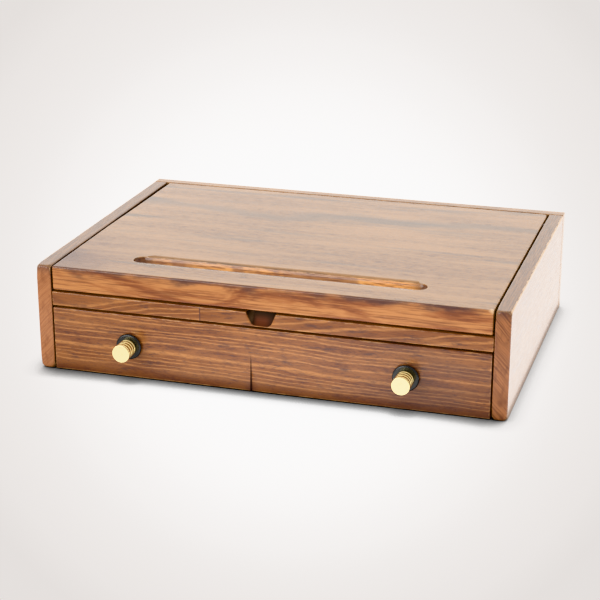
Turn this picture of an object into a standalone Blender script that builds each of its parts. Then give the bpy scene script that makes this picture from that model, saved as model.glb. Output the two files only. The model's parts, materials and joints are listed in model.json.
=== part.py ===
"""Desktop writing box: a low wooden case with a lid that lifts and one drawer.

Metres, +Z up, front towards -Y. The origin is at the middle of the base of the whole object, knobs included.
"""

import math

import bmesh
import bpy
from mathutils import Euler, Vector

MM = 0.001

# Case
CASE_WIDTH = 375 * MM
CASE_DEPTH = 262 * MM
CASE_HEIGHT = 86 * MM
SIDE_THICKNESS = 12 * MM
BACK_THICKNESS = 10 * MM
PLY_THICKNESS = 3 * MM
GROOVE_DEPTH = 3.6 * MM
BOTTOM_PANEL_Z = 3 * MM
TOUCH_GAP = 0.3 * MM
EDGE_ROUND = 0.7 * MM
PLY_EDGE_ROUND = 0.3 * MM
# How far a cutter reaches past the face it cuts into
OVERSHOOT = 5 * MM

# Front rail and its finger scoop
RAIL_BOTTOM = 53.5 * MM
RAIL_HEIGHT = 11.5 * MM
RAIL_DEPTH = 18 * MM
RAIL_REBATE_DEPTH = 6 * MM
SCOOP_X = -3 * MM
SCOOP_TOP_WIDTH = 24 * MM
SCOOP_BOTTOM_WIDTH = 15 * MM
SCOOP_HEIGHT = 10.6 * MM
SCOOP_TOP_DEPTH = 10 * MM
SCOOP_BOTTOM_DEPTH = 4 * MM
SCOOP_ROUND = 3 * MM

# Lid, which turns on two blind pins
LID_THICKNESS = 19.5 * MM
LID_SIDE_GAP = 1.3 * MM
LID_BACK_GAP = 1 * MM
LID_EDGE_ROUND = 1.1 * MM
LID_CORNER_ROUND = 4 * MM
LEFT_CORNER_SHARE = 0.4
PIVOT_BEHIND = 15 * MM
PIVOT_BELOW = 6 * MM
PIN_RADIUS = 2 * MM
PIN_IN_SIDE = 8 * MM
PIN_IN_LID = 10.5 * MM
PIN_CHAMFER = 0.4 * MM
RUNNING_GAP = 0.1 * MM
PEN_GROOVE_X = -1 * MM
PEN_GROOVE_LENGTH = 237 * MM
PEN_GROOVE_RADIUS = 7.8 * MM
PEN_GROOVE_DEPTH = 7 * MM
PEN_GROOVE_FROM_FRONT = 35.7 * MM
PAD_RADIUS = 5 * MM
PAD_CHAMFER = 0.15 * MM
PAD_X = 160 * MM

# Drawer
DRAWER_SIDE_GAP = 0.8 * MM
DRAWER_FRONT_BOTTOM = 0.5 * MM
DRAWER_FRONT_TOP = 52 * MM
DRAWER_FRONT_THICKNESS = 12 * MM
DRAWER_BOARD = 8 * MM
DRAWER_BOARD_HEIGHT = 45 * MM
DRAWER_BOTTOM_RISE = 3 * MM
DRAWER_REBATE_DEPTH = 6 * MM

# Knobs, washers and their screws
KNOB_X = 110.7 * MM
KNOB_Z = 26.5 * MM
KNOB_RADIUS = 7 * MM
KNOB_LENGTH = 15.1 * MM
KNOB_BORE_DEPTH = 10 * MM
WASHER_RADIUS = 10.4 * MM
WASHER_THICKNESS = 2.8 * MM
SCREW_RADIUS = 2 * MM
SCREW_CLEARANCE = 0.3 * MM
SCREW_IN_KNOB = 8.5 * MM
SCREW_HEAD_RADIUS = 4 * MM
SCREW_HEAD_HEIGHT = 2.4 * MM
SCREW_SLOT_WIDTH = 1.2 * MM
SCREW_SLOT_DEPTH = 1.2 * MM
SCREW_CHAMFER = 0.5 * MM

# Dowels and brads
DOWEL_RADIUS = 2.5 * MM
DOWEL_LENGTH = 18 * MM
DOWEL_IN_SIDE = 8 * MM
DOWEL_IN_BACK = 7 * MM
DOWEL_CHAMFER = 0.5 * MM
RAIL_DOWEL_BEHIND = 6 * MM
BACK_DOWEL_HEIGHTS = {"lower": 26 * MM, "upper": 70 * MM}
GLUE_GAP = 0.15 * MM
BRAD_RADIUS = 0.7 * MM
BRAD_HEAD_RADIUS = 1.2 * MM
BRAD_HEAD_HEIGHT = 0.8 * MM
BRAD_LENGTH = 18 * MM
BRAD_POINT = 2 * MM
# Above the lower edge of the drawer's sides
BRAD_HEIGHTS = {"lower": 15 * MM, "upper": 39 * MM}

ROUND_STEPS = 32
SMALL_ROUND_STEPS = 20
BRAD_STEPS = 10

# Places that follow from the sizes above
KNOB_REACH = WASHER_THICKNESS + KNOB_LENGTH + 2 * TOUCH_GAP
FRONT = (KNOB_REACH - CASE_DEPTH) / 2
BACK = FRONT + CASE_DEPTH
BACK_INNER = BACK - BACK_THICKNESS
INNER = CASE_WIDTH / 2 - SIDE_THICKNESS
RAIL_TOP = RAIL_BOTTOM + RAIL_HEIGHT
LID_BOTTOM = CASE_HEIGHT - LID_THICKNESS
LID_BACK = BACK_INNER - LID_BACK_GAP
LID_END = INNER - LID_SIDE_GAP
PIVOT_Y = LID_BACK - PIVOT_BEHIND
PIVOT_Z = CASE_HEIGHT - PIVOT_BELOW
DRAWER_INNER_FRONT = FRONT + DRAWER_FRONT_THICKNESS
DRAWER_END = INNER - DRAWER_SIDE_GAP
DRAWER_BOARD_INNER = DRAWER_END - DRAWER_BOARD
DRAWER_BOARD_BOTTOM = BOTTOM_PANEL_Z + PLY_THICKNESS + TOUCH_GAP
DRAWER_BOARD_TOP = DRAWER_BOARD_BOTTOM + DRAWER_BOARD_HEIGHT
DRAWER_BACK_OUTER = BACK_INNER - TOUCH_GAP
DRAWER_BACK_INNER = DRAWER_BACK_OUTER - DRAWER_BOARD
DRAWER_BOTTOM_Z = DRAWER_BOARD_BOTTOM + DRAWER_BOTTOM_RISE
GROOVE_HOLD = GROOVE_DEPTH - TOUCH_GAP

ALONG_X = Euler((0, math.pi / 2, 0))
TO_FRONT = Euler((math.pi / 2, 0, 0))
TO_BACK = Euler((-math.pi / 2, 0, 0))

SIDES = {"left": -1, "right": 1}


def clear_scene():
    for obj in list(bpy.data.objects):
        bpy.data.objects.remove(obj, do_unlink=True)


def new_collection(name):
    collection = bpy.data.collections.new(name)
    bpy.context.scene.collection.children.link(collection)
    return collection


def new_material(name, color, roughness, metallic=0.0):
    material = bpy.data.materials.new(name)
    material.use_nodes = True
    shader = material.node_tree.nodes["Principled BSDF"]
    shader.inputs["Base Color"].default_value = (*color, 1)
    shader.inputs["Roughness"].default_value = roughness
    shader.inputs["Metallic"].default_value = metallic
    return material


def new_object(name, mesh, location, rotation=None):
    """Puts a mesh in the model. A cutter's name starts with cut_, and it goes in the cutters' collection."""
    obj = bpy.data.objects.new(name, mesh)
    obj.location = location
    if rotation:
        obj.rotation_euler = rotation
    if name.startswith("cut_"):
        obj.display_type = "WIRE"
        obj.hide_render = True
        CUTTERS.objects.link(obj)
    else:
        MODEL.objects.link(obj)
    return obj


def box(name, low, high):
    """A box between two corners, with its origin at its middle."""
    low, high = Vector(low), Vector(high)
    bm = bmesh.new()
    bmesh.ops.create_cube(bm, size=1)
    bmesh.ops.scale(bm, vec=high - low, verts=bm.verts)
    mesh = bpy.data.meshes.new(name)
    bm.to_mesh(mesh)
    bm.free()
    return new_object(name, mesh, (low + high) / 2)


def round_edges(obj, width, segments=2):
    bevel = obj.modifiers.new("round_edges", "BEVEL")
    bevel.width = width
    bevel.segments = segments
    bevel.limit_method = "ANGLE"


def board(name, low, high, material, edge=EDGE_ROUND):
    """A planed board with its sharp edges taken off."""
    obj = box(name, low, high)
    obj.data.materials.append(material)
    round_edges(obj, edge)
    return obj


def turned(name, profile, location, rotation, material=None, steps=ROUND_STEPS):
    """A piece turned about its own Z, from (radius, height) points that run down its outer side."""
    mesh = bpy.data.meshes.new(name)
    edges = [(i, i + 1) for i in range(len(profile) - 1)]
    mesh.from_pydata([(radius, 0, height) for radius, height in profile], edges, [])
    obj = new_object(name, mesh, location, rotation)
    screw = obj.modifiers.new("turn", "SCREW")
    screw.steps = steps
    screw.render_steps = steps
    screw.use_merge_vertices = True
    screw.merge_threshold = 0.00001
    screw.use_smooth_shade = True
    if material:
        mesh.materials.append(material)
        obj.modifiers.new("even_normals", "WEIGHTED_NORMAL")
    return obj


def rod_profile(radius, length, chamfer=0.0):
    """A plain rod from height 0 to length, with its ends chamfered."""
    if not chamfer:
        return [(0, length), (radius, length), (radius, 0), (0, 0)]
    flat = radius - chamfer
    return [
        (0, length),
        (flat, length),
        (radius, length - chamfer),
        (radius, chamfer),
        (flat, 0),
        (0, 0),
    ]


def cut(obj, *cutters):
    for cutter in cutters:
        boolean = obj.modifiers.new(cutter.name, "BOOLEAN")
        boolean.operation = "DIFFERENCE"
        boolean.solver = "EXACT"
        boolean.object = cutter


def arc(centre, radius, start, end, steps):
    """Points of an arc, angles in degrees, as (radius, height) pairs."""
    turns = [math.radians(start + (end - start) * i / steps) for i in range(steps + 1)]
    return [(centre[0] + radius * math.cos(t), centre[1] + radius * math.sin(t)) for t in turns]


def groove_box(name, low, high):
    """The cutter of a groove that takes a plywood panel from low to high, with a little room all round."""
    room = Vector((TOUCH_GAP, TOUCH_GAP, TOUCH_GAP))
    return box(f"cut_{name}", Vector(low) - room, Vector(high) + room)


def make_panels(ply):
    """The two plywood panels of the case, and the cutters of their grooves."""
    reach = INNER + GROOVE_HOLD
    panels = {
        "compartment_floor": (FRONT + RAIL_DEPTH - RAIL_REBATE_DEPTH, RAIL_BOTTOM),
        "bottom_panel": (DRAWER_INNER_FRONT, BOTTOM_PANEL_Z),
    }
    cutters = []
    for name, (front, low_z) in panels.items():
        low = (-reach, front + TOUCH_GAP, low_z)
        high = (reach, BACK_INNER + GROOVE_HOLD, low_z + PLY_THICKNESS)
        board(name, low, high, ply, edge=PLY_EDGE_ROUND)
        cutters.append(groove_box(f"groove_for_{name}", low, high))
    return cutters


def make_dowels(beech):
    """The rail's dowels, along X, and the back panel's, along Y. Returns the cutters of their holes, left then right."""
    cutters = []
    for side, sign in SIDES.items():
        inner_end = INNER + DOWEL_IN_SIDE - DOWEL_LENGTH
        start = inner_end if sign > 0 else -inner_end - DOWEL_LENGTH
        place = Vector((start, FRONT + RAIL_DOWEL_BEHIND, RAIL_BOTTOM + RAIL_HEIGHT / 2))
        cutters.append(make_dowel(f"rail_dowel_{side}", place, Vector((1, 0, 0)), ALONG_X, beech))
    for level, height in BACK_DOWEL_HEIGHTS.items():
        for side, sign in SIDES.items():
            middle = sign * (CASE_WIDTH - SIDE_THICKNESS) / 2
            place = Vector((middle, BACK_INNER + DOWEL_IN_BACK - DOWEL_LENGTH, height))
            cutters.append(make_dowel(f"back_dowel_{side}_{level}", place, Vector((0, 1, 0)), TO_BACK, beech))
    return cutters


def make_dowel(name, start, direction, rotation, beech):
    """One dowel, from its start in a direction. Returns its hole's cutter, which is a little longer at both ends."""
    profile = rod_profile(DOWEL_RADIUS, DOWEL_LENGTH, DOWEL_CHAMFER)
    turned(name, profile, start, rotation, beech, SMALL_ROUND_STEPS)
    hole = rod_profile(DOWEL_RADIUS + GLUE_GAP, DOWEL_LENGTH + 2 * TOUCH_GAP)
    return turned(f"cut_{name}", hole, start - TOUCH_GAP * direction, rotation, steps=SMALL_ROUND_STEPS)


def make_pivot_pins(steel):
    """The steel pins that the lid turns on, held in blind holes. Returns the cutters of the holes."""
    length = PIN_IN_SIDE + LID_SIDE_GAP + PIN_IN_LID
    cutters = []
    for side, sign in SIDES.items():
        start = INNER + PIN_IN_SIDE - length if sign > 0 else -INNER - PIN_IN_SIDE
        name = f"lid_pivot_pin_{side}"
        pin = rod_profile(PIN_RADIUS, length, PIN_CHAMFER)
        turned(name, pin, (start, PIVOT_Y, PIVOT_Z), ALONG_X, steel, SMALL_ROUND_STEPS)
        hole = rod_profile(PIN_RADIUS + RUNNING_GAP, length + 2 * TOUCH_GAP)
        place = (start - TOUCH_GAP, PIVOT_Y, PIVOT_Z)
        cutters.append(turned(f"cut_{name}", hole, place, ALONG_X, steps=SMALL_ROUND_STEPS))
    return cutters


def make_case(pine, panel_cutters, dowel_cutters, pin_cutters):
    """The side panels, and the back panel that covers their back ends."""
    outside = CASE_WIDTH / 2
    for index, (side, sign) in enumerate(SIDES.items()):
        left, right = sorted((sign * INNER, sign * outside))
        high = (right, BACK_INNER - TOUCH_GAP, CASE_HEIGHT)
        panel = board(f"side_panel_{side}", (left, FRONT, 0), high, pine)
        cut(panel, *panel_cutters, *dowel_cutters[index::2], pin_cutters[index])
    back = board("back_panel", (-outside, BACK_INNER, 0), (outside, BACK, CASE_HEIGHT), pine)
    cut(back, *panel_cutters, *dowel_cutters[2:])


def make_rail(pine, panel_cutters, dowel_cutters):
    end = INNER - TOUCH_GAP
    back = FRONT + RAIL_DEPTH
    rail = board("front_rail", (-end, FRONT, RAIL_BOTTOM), (end, back, RAIL_TOP), pine)
    rebate_low = (-INNER, back - RAIL_REBATE_DEPTH, RAIL_BOTTOM - OVERSHOOT)
    rebate_high = (INNER, back + OVERSHOOT, RAIL_BOTTOM + PLY_THICKNESS + TOUCH_GAP)
    rebate = box("cut_rail_rebate", rebate_low, rebate_high)
    cut(rail, rebate, *dowel_cutters[:2], scoop_cutter())


def scoop_cutter():
    """The finger scoop: narrower and shallower at the bottom, with its lower and inner edges rounded."""
    overshoot = 4 * MM
    low = (SCOOP_X - SCOOP_TOP_WIDTH / 2, FRONT - overshoot, RAIL_TOP - SCOOP_HEIGHT)
    high = (SCOOP_X + SCOOP_TOP_WIDTH / 2, FRONT + SCOOP_TOP_DEPTH, RAIL_TOP)
    scoop = box("cut_finger_scoop", low, high)
    bottom_ratio = SCOOP_BOTTOM_WIDTH / SCOOP_TOP_WIDTH
    for vertex in scoop.data.vertices:
        if vertex.co.z < 0:
            vertex.co.x *= bottom_ratio
            if vertex.co.y > 0:
                vertex.co.y -= SCOOP_TOP_DEPTH - SCOOP_BOTTOM_DEPTH
        else:
            # The slope of the sides goes on above the rail, so the rail's own rounding is cut too.
            vertex.co.x *= 1 + overshoot / SCOOP_HEIGHT * (1 - bottom_ratio)
            vertex.co.z += overshoot
    round_edges(scoop, SCOOP_ROUND, segments=4)
    return scoop


def make_pads(felt):
    """Felt pads on the rail's ends, which the closed lid rests on."""
    thickness = LID_BOTTOM - RAIL_TOP - 2 * TOUCH_GAP
    for side, sign in SIDES.items():
        place = (sign * PAD_X, FRONT + RAIL_DEPTH / 2, RAIL_TOP + TOUCH_GAP)
        profile = rod_profile(PAD_RADIUS, thickness, PAD_CHAMFER)
        turned(f"lid_pad_{side}", profile, place, None, felt, SMALL_ROUND_STEPS)


def make_lid(pine, pin_cutters):
    """The lid's origin is on the axis of its pins, and its two back corners are rounded in plan."""
    lid = box("lid", (-LID_END, FRONT, LID_BOTTOM), (LID_END, LID_BACK, CASE_HEIGHT))
    lid.data.materials.append(pine)
    bm = bmesh.new()
    bm.from_mesh(lid.data)
    weight = bm.edges.layers.float.new("bevel_weight_edge")
    for edge in bm.edges:
        upright = abs(edge.verts[0].co.z - edge.verts[1].co.z) > LID_THICKNESS / 2
        if upright and edge.verts[0].co.y > 0:
            edge[weight] = 1 if edge.verts[0].co.x > 0 else LEFT_CORNER_SHARE
    pivot = Vector((0, PIVOT_Y, PIVOT_Z))
    bmesh.ops.translate(bm, vec=lid.location - pivot, verts=bm.verts)
    bm.to_mesh(lid.data)
    bm.free()
    lid.location = pivot
    corners = lid.modifiers.new("round_corners", "BEVEL")
    corners.width = LID_CORNER_ROUND
    corners.segments = 5
    corners.limit_method = "WEIGHT"
    round_edges(lid, LID_EDGE_ROUND)
    cut(lid, pen_groove_cutter(), *pin_cutters)


def pen_groove_cutter():
    """A rod with domed ends, lying along X with its axis just above the lid's top."""
    steps = 6
    straight = PEN_GROOVE_LENGTH - 2 * PEN_GROOVE_RADIUS
    top = arc((0, straight), PEN_GROOVE_RADIUS, 90, 0, steps)
    bottom = arc((0, 0), PEN_GROOVE_RADIUS, 0, -90, steps)
    place = (
        PEN_GROOVE_X - straight / 2,
        FRONT + PEN_GROOVE_FROM_FRONT,
        CASE_HEIGHT + PEN_GROOVE_RADIUS - PEN_GROOVE_DEPTH,
    )
    profile = [(0, top[0][1]), *top[1:], *bottom[:-1], (0, bottom[-1][1])]
    return turned("cut_pen_groove", profile, place, ALONG_X, steps=ROUND_STEPS)


def make_drawer(pine, ply, steel):
    """The drawer's own parts ride on an empty, which slides towards -Y."""
    slide = bpy.data.objects.new("drawer_slide", None)
    slide.location = (0, FRONT, 0)
    MODEL.objects.link(slide)

    reach = DRAWER_BOARD_INNER + GROOVE_HOLD
    low = (-reach, DRAWER_INNER_FRONT - GROOVE_HOLD, DRAWER_BOTTOM_Z)
    high = (reach, DRAWER_BACK_INNER + GROOVE_HOLD, DRAWER_BOTTOM_Z + PLY_THICKNESS)
    bottom = board("drawer_bottom", low, high, ply, edge=PLY_EDGE_ROUND)
    groove = groove_box("groove_for_drawer_bottom", low, high)

    front = make_drawer_front(pine, groove)
    back_low = (-DRAWER_BOARD_INNER + TOUCH_GAP, DRAWER_BACK_INNER, DRAWER_BOARD_BOTTOM)
    back_high = (DRAWER_BOARD_INNER - TOUCH_GAP, DRAWER_BACK_OUTER, DRAWER_BOARD_TOP)
    back = board("drawer_back", back_low, back_high, pine)
    cut(back, groove)
    pieces = [bottom, front, back]
    for side, sign in SIDES.items():
        inner, outer = sorted((sign * DRAWER_BOARD_INNER, sign * DRAWER_END))
        side_low = (inner, DRAWER_INNER_FRONT - DRAWER_REBATE_DEPTH + TOUCH_GAP, DRAWER_BOARD_BOTTOM)
        side_high = (outer, DRAWER_BACK_OUTER, DRAWER_BOARD_TOP)
        panel = board(f"drawer_side_{side}", side_low, side_high, pine)
        cut(panel, groove)
        pieces.append(panel)
        pieces += make_brads(side, sign, panel, front, back, steel)
    for piece in pieces:
        ride_on(piece, slide)
    return slide, front


def make_drawer_front(pine, groove):
    low = (-DRAWER_END, FRONT, DRAWER_FRONT_BOTTOM)
    high = (DRAWER_END, DRAWER_INNER_FRONT, DRAWER_FRONT_TOP)
    front = board("drawer_front", low, high, pine)
    cut(front, groove)
    for side, sign in SIDES.items():
        inner, outer = sorted((sign * (DRAWER_BOARD_INNER - TOUCH_GAP), sign * INNER))
        rebate_low = (inner, DRAWER_INNER_FRONT - DRAWER_REBATE_DEPTH, DRAWER_BOARD_BOTTOM - TOUCH_GAP)
        rebate_high = (outer, DRAWER_INNER_FRONT + OVERSHOOT, DRAWER_FRONT_TOP + OVERSHOOT)
        cut(front, box(f"cut_drawer_rebate_{side}", rebate_low, rebate_high))
    return front


def brad_profile(clearance=0.0):
    """A brad with its point at height 0 and its head at the top."""
    shank = BRAD_RADIUS + clearance
    head = BRAD_HEAD_RADIUS + clearance
    neck = BRAD_LENGTH - BRAD_HEAD_HEIGHT - clearance
    top = BRAD_LENGTH + (OVERSHOOT if clearance else 0)
    tip = -2 * clearance
    return [(0, top), (head, top), (head, neck), (shank, neck), (shank, BRAD_POINT + tip), (0, tip)]


def make_brads(side, sign, panel, front, back, steel):
    """Brads through one drawer side: two into the front's rebate, two into the back."""
    ends = {
        "front": (front, DRAWER_INNER_FRONT - DRAWER_REBATE_DEPTH / 2),
        "back": (back, DRAWER_BACK_OUTER - DRAWER_BOARD / 2),
    }
    point = DRAWER_END - TOUCH_GAP - BRAD_LENGTH
    brads = []
    for end, (other, y) in ends.items():
        for level, height in BRAD_HEIGHTS.items():
            name = f"drawer_brad_{end}_{side}_{level}"
            place = (sign * point, y, DRAWER_BOARD_BOTTOM + height)
            turn = Euler((0, sign * math.pi / 2, 0))
            brads.append(turned(name, brad_profile(), place, turn, steel, BRAD_STEPS))
            hole = turned(f"cut_{name}", brad_profile(GLUE_GAP), place, turn, steps=BRAD_STEPS)
            cut(panel, hole)
            cut(other, hole)
    return brads


def ride_on(piece, carrier):
    """Parents a piece to the carrier and leaves it where it is."""
    piece.parent = carrier
    piece.location = piece.location - carrier.location


def knob_profile():
    """A front disc and three beads with grooves between them, then the threaded bore."""
    groove_radius = KNOB_RADIUS - 1.1 * MM
    groove_width = 1.2 * MM
    groove_taper = 0.1 * MM
    corner = 0.6 * MM
    disc = 1.3 * MM
    front_chamfer = 0.4 * MM
    back_chamfer = 0.3 * MM
    bead = (KNOB_LENGTH - disc) / 3 - groove_width
    points = [(0, KNOB_LENGTH), (KNOB_RADIUS - front_chamfer, KNOB_LENGTH)]
    points += [(KNOB_RADIUS, KNOB_LENGTH - front_chamfer), (KNOB_RADIUS, KNOB_LENGTH - disc)]
    height = KNOB_LENGTH - disc
    for _ in range(3):
        points += [(groove_radius, height - groove_taper), (groove_radius, height - groove_width)]
        height -= groove_width
        points += arc((KNOB_RADIUS - corner, height - corner), corner, 90, 0, 2)
        height -= bead
        if height > corner:
            points += arc((KNOB_RADIUS - corner, height + corner), corner, 0, -90, 2)
    bore = SCREW_RADIUS + SCREW_CLEARANCE
    points += [(KNOB_RADIUS, back_chamfer), (KNOB_RADIUS - back_chamfer, 0)]
    return points + [(bore, 0), (bore, KNOB_BORE_DEPTH), (0, KNOB_BORE_DEPTH)]


def washer_profile():
    """A flat rubber ring with a rounded rim."""
    bore = SCREW_RADIUS + SCREW_CLEARANCE
    rim = WASHER_THICKNESS / 2
    outer = arc((WASHER_RADIUS - rim, rim), rim, 90, -90, 6)
    return [(bore, WASHER_THICKNESS), *outer, (bore, 0), (bore, WASHER_THICKNESS)]


def screw_profile():
    """A domed head at the top, then the shank down to height 0."""
    shank = DRAWER_FRONT_THICKNESS + WASHER_THICKNESS + SCREW_IN_KNOB + 2 * TOUCH_GAP
    dome = 1.2 * MM
    head_top = shank + SCREW_HEAD_HEIGHT
    points = [(0, head_top), (SCREW_HEAD_RADIUS - dome, head_top)]
    points += arc((SCREW_HEAD_RADIUS - dome, head_top - dome), dome, 90, 0, 3)[1:]
    points += [(SCREW_HEAD_RADIUS, shank), (SCREW_RADIUS, shank)]
    return points + [(SCREW_RADIUS, SCREW_CHAMFER), (SCREW_RADIUS - SCREW_CHAMFER, 0), (0, 0)]


def make_knobs(slide, front, brass, rubber, steel):
    screw_end = FRONT - WASHER_THICKNESS - SCREW_IN_KNOB - TOUCH_GAP
    for side, sign in SIDES.items():
        x = sign * KNOB_X
        hole_profile = rod_profile(SCREW_RADIUS + SCREW_CLEARANCE, 2 * DRAWER_FRONT_THICKNESS)
        hole_place = (x, FRONT - DRAWER_FRONT_THICKNESS / 2, KNOB_Z)
        hole = turned(f"cut_knob_hole_{side}", hole_profile, hole_place, TO_BACK, steps=SMALL_ROUND_STEPS)
        cut(front, hole)
        washer_place = (x, FRONT - TOUCH_GAP, KNOB_Z)
        washer = turned(f"knob_washer_{side}", washer_profile(), washer_place, TO_FRONT, rubber)
        knob_place = (x, FRONT - 2 * TOUCH_GAP - WASHER_THICKNESS, KNOB_Z)
        knob = turned(f"knob_{side}", knob_profile(), knob_place, TO_FRONT, brass)
        screw_place = (x, screw_end, KNOB_Z)
        name = f"knob_screw_{side}"
        screw = turned(name, screw_profile(), screw_place, TO_BACK, steel, SMALL_ROUND_STEPS)
        head_top = Vector((x, DRAWER_INNER_FRONT + TOUCH_GAP + SCREW_HEAD_HEIGHT, KNOB_Z))
        half_slot = Vector((SCREW_HEAD_RADIUS + OVERSHOOT, SCREW_SLOT_DEPTH, SCREW_SLOT_WIDTH / 2))
        cut(screw, box(f"cut_screw_slot_{side}", head_top - half_slot, head_top + half_slot))
        for piece in (washer, knob, screw):
            ride_on(piece, slide)


clear_scene()
MODEL = new_collection("writing_box")
CUTTERS = new_collection("cutters")

stained_pine = new_material("stained_pine", (0.30, 0.13, 0.06), 0.45)
plywood = new_material("plywood", (0.45, 0.28, 0.15), 0.6)
beech = new_material("beech", (0.62, 0.45, 0.28), 0.6)
polished_brass = new_material("polished_brass", (0.90, 0.70, 0.30), 0.15, metallic=1.0)
black_rubber = new_material("black_rubber", (0.02, 0.02, 0.02), 0.35)
bright_steel = new_material("bright_steel", (0.60, 0.60, 0.62), 0.35, metallic=1.0)
brown_felt = new_material("brown_felt", (0.10, 0.06, 0.04), 0.95)

panel_cutters = make_panels(plywood)
dowel_cutters = make_dowels(beech)
pin_cutters = make_pivot_pins(bright_steel)
make_case(stained_pine, panel_cutters, dowel_cutters, pin_cutters)
make_rail(stained_pine, panel_cutters, dowel_cutters)
make_pads(brown_felt)
make_lid(stained_pine, pin_cutters)
drawer_slide, drawer_front = make_drawer(stained_pine, plywood, bright_steel)
make_knobs(drawer_slide, drawer_front, polished_brass, black_rubber, bright_steel)
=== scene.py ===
import json
import math

import bmesh
import bpy
from mathutils import Matrix, Vector, noise

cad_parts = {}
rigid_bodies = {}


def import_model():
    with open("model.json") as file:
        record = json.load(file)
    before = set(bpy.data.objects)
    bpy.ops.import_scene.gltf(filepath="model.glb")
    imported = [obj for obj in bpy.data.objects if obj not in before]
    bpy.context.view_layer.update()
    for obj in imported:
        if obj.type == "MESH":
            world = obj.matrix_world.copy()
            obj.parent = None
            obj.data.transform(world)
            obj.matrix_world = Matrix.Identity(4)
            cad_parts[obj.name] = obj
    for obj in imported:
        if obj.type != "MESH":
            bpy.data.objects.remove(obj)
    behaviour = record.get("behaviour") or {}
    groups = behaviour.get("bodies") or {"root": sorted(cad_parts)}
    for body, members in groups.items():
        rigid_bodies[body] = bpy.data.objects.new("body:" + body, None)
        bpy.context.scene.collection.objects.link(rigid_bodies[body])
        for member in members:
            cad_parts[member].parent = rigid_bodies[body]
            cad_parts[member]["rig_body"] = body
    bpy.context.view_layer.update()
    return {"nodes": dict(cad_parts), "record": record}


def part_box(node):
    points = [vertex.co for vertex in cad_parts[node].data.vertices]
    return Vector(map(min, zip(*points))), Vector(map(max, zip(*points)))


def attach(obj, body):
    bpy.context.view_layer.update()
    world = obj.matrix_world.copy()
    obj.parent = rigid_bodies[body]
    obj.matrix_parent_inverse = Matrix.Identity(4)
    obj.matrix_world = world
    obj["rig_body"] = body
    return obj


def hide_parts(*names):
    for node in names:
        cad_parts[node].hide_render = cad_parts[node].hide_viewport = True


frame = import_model()

# The looks of the desktop writing box. Metres, +Z up, front towards -Y. The materials measure in millimetres.
MM = 0.001
SIDES = {"left": -1, "right": 1}

# Camera, at the photograph's angle
AZIMUTH = math.radians(16.86)
ELEVATION = math.radians(19.77)
AIM = Vector((-0.0134, 0.0154, 0.0275))
DISTANCE = 1.3831
LENS = 98.9
SENSOR = 36

# Studio: pale walls all round, brighter behind the object
WORLD_LEVEL = 1.35
WORLD_LEVEL_PER_Y = 0.55
# Each light: place, the point that it faces, size, watts
LIGHTS = {
    "front_softbox": ((-0.9, -1.6, 0.6), (0, -0.1, 0.05), (1.3, 0.9), 24),
    "front_card": ((0.0, -0.215, 0.001), (0.0, -0.215, 1), (0.6, 0.08), 0.09),
    "side_card": ((0.43, 0.25, 0.001), (0.43, 0.25, 1), (0.48, 1.1), 1.9),
}

# Floor. Its glow is (distance, brightness), where distance is 0 at the middle of the view.
FLOOR_SIZE = 6
FLOOR_DROP = 0.0001
FLOOR_GLOW = (
    (0.0, 0.64),
    (0.36, 0.60),
    (0.48, 0.50),
    (0.58, 0.385),
    (0.70, 0.31),
    (0.82, 0.277),
    (1.0, 0.245),
)
FLOOR_GLOW_SCALE = 4.0
FLOOR_BRIGHTNESS = 3.4
FLOOR_NEAR = (1.0, 0.995, 0.997)
FLOOR_FAR = (1.0, 0.955, 0.93)
SHADE_REACH = 0.022
SHADE_POWER = 3.0
SHADE_LEAN = 0.75
SHADE_LEAN_WIDTH = 0.2
SHADE_FORWARD = 0.3

# Colours, linear
PINE_MID = (0.192, 0.071, 0.029)
PINE_DARK = (0.092, 0.036, 0.024)
PINE_LIGHT = (0.410, 0.180, 0.064)
PINE_STAIN = (0.068, 0.036, 0.034)
PINE_WORN = (0.600, 0.340, 0.160)
LID_MID = (0.290, 0.150, 0.064)
LID_DARK = (0.120, 0.062, 0.033)
LID_LIGHT = (0.430, 0.240, 0.108)
LID_GREY = (0.150, 0.102, 0.070)
LID_FRONT = (0.262, 0.094, 0.038)
LID_FRONT_DARK = (0.130, 0.046, 0.026)
LID_FRONT_LIGHT = (0.420, 0.183, 0.070)
SIDE_TOP = (0.250, 0.130, 0.062)
SIDE_TOP_DARK = (0.140, 0.080, 0.048)
SIDE_END = {"left": (0.345, 0.147, 0.066), "right": (0.275, 0.112, 0.048)}
SIDE_END_DARK = {"left": (0.205, 0.078, 0.036), "right": (0.115, 0.045, 0.026)}
RING_STRENGTH = {"left": 0.55, "right": 0.9}
SIDE_RUBBED = (0.640, 0.420, 0.240)
BIRCH_MID = (0.560, 0.350, 0.175)
BIRCH_DARK = (0.380, 0.215, 0.100)
BIRCH_LIGHT = (0.680, 0.470, 0.270)
BRASS = (1.000, 0.890, 0.470)
BRASS_DULL = (0.700, 0.480, 0.150)
RUBBER = (0.012, 0.012, 0.013)
RUBBER_DUST = (0.060, 0.058, 0.055)
STEEL = (0.560, 0.560, 0.580)
STEEL_DULL = (0.340, 0.330, 0.330)
FELT = (0.060, 0.034, 0.022)
FELT_LINT = (0.150, 0.100, 0.075)
PINE_RED = (0.140, 0.042, 0.022)
# Painted shade, for the gaps between boards, the slit beside the lid and the drawer front's crack
PAINTED_SHADE = (0.040, 0.021, 0.018)
# Painted shade inside the finger scoop
SCOOP_SHADE = (0.024, 0.017, 0.013)
GROOVE_DARK = (0.240, 0.110, 0.060)
GROOVE_GLOW = (0.820, 0.410, 0.130)

# Shader of the varnished woods
VARNISH_IOR = 1.42
SMOOTHEST = 0.15
ROUGHEST = 0.28
WOOD_BUMP = 0.25
SHADED_ROUGHNESS = 0.6

# The crack in the drawer's front
CRACK_X = -11 * MM
CRACK_TOP = 29 * MM
CRACK_WIDTH = 1.3 * MM
CRACK_TIP = 0.1 * MM
CRACK_DEPTH = 1.2 * MM

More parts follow.
